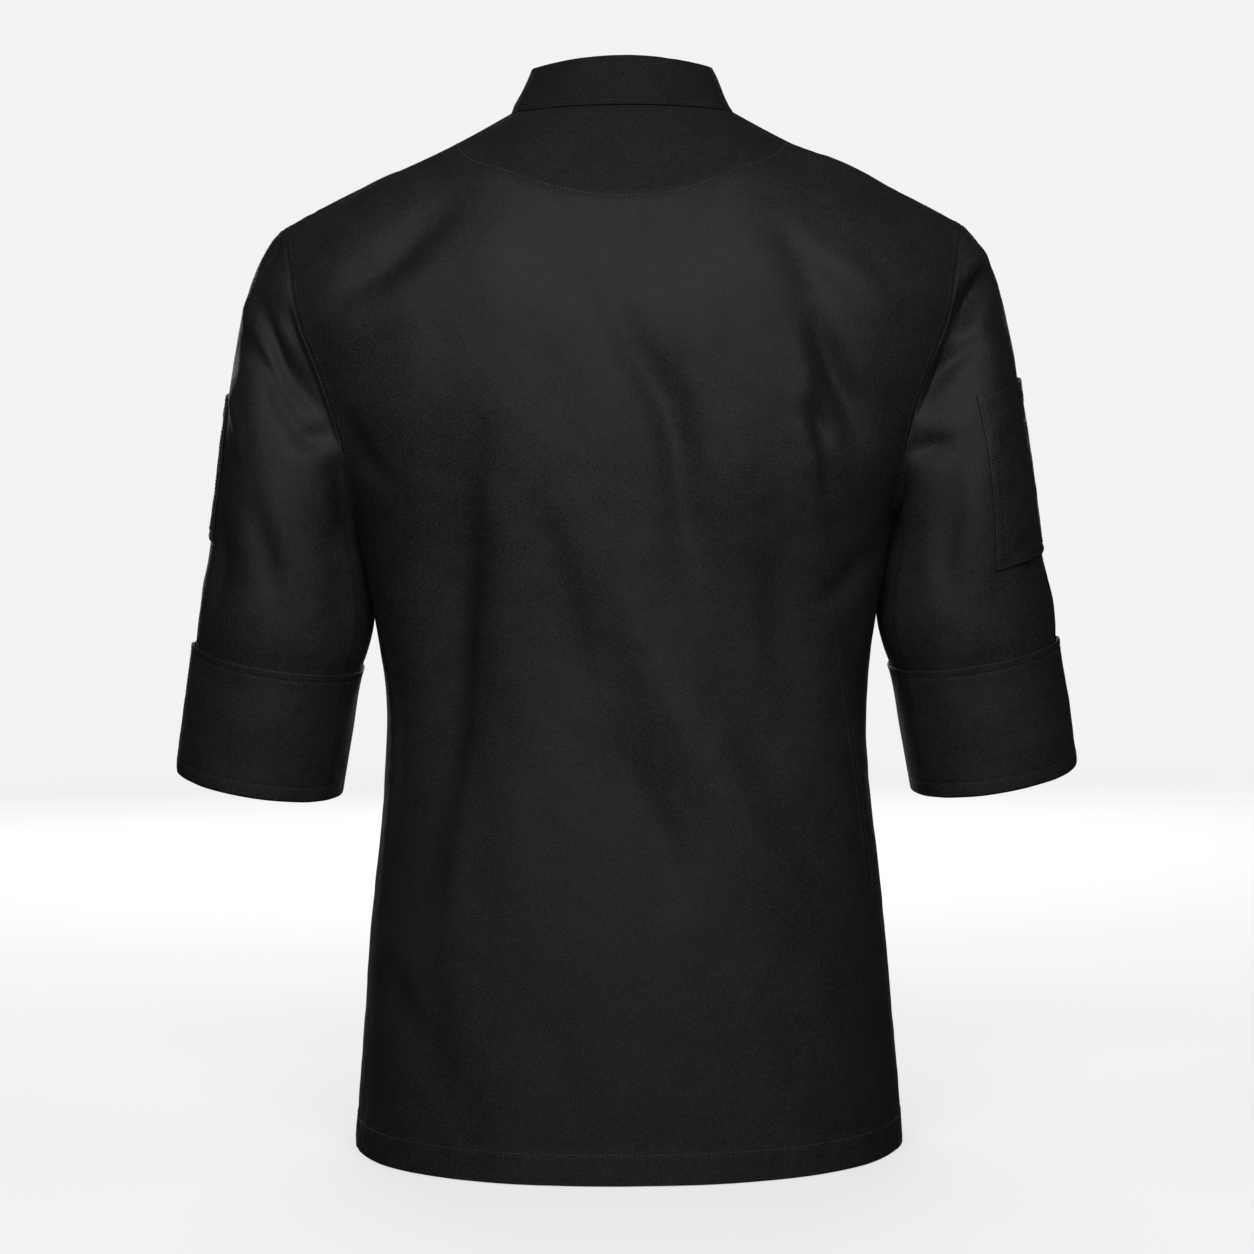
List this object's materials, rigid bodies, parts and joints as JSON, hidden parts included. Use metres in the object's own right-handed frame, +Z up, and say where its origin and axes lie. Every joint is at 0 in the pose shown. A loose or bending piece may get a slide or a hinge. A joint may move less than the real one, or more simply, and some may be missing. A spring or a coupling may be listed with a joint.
{
  "type": "chef jacket",
  "caption": "Double-breasted chef jacket, filled out as if worn, with a stand-up collar, short sleeves with turned-back cuffs, and a patch pocket on each sleeve.",
  "frame": {"origin": "middle of the neck, level with the points where the shoulder seams meet the collar", "axes": "+Z up the wearer's body, +Y towards the wearer's back, +X towards the wearer's left"},
  "size_m": [0.6446, 0.2952, 0.7701],
  "materials": {
    "cloth": "black cotton and polyester twill with a soft sheen",
    "collar_cloth": "black twill, doubled and stiffened",
    "button": "black, half gloss"
  },
  "bodies": {
    "root": {"back": "cloth", "front_left": "cloth", "front_right": "cloth", "sleeve_left": "cloth", "sleeve_right": "cloth", "cuff_left": "cloth", "cuff_right": "cloth", "sleeve_pocket_right": "cloth", "sleeve_pocket_left": "cloth", "collar": "collar_cloth", "button_left_1": "button", "button_left_2": "button", "button_left_3": "button", "button_left_4": "button", "button_left_5": "button", "button_right_1": "button", "button_right_2": "button", "button_right_3": "button", "button_right_4": "button", "button_right_5": "button"}
  },
  "joints": []
}
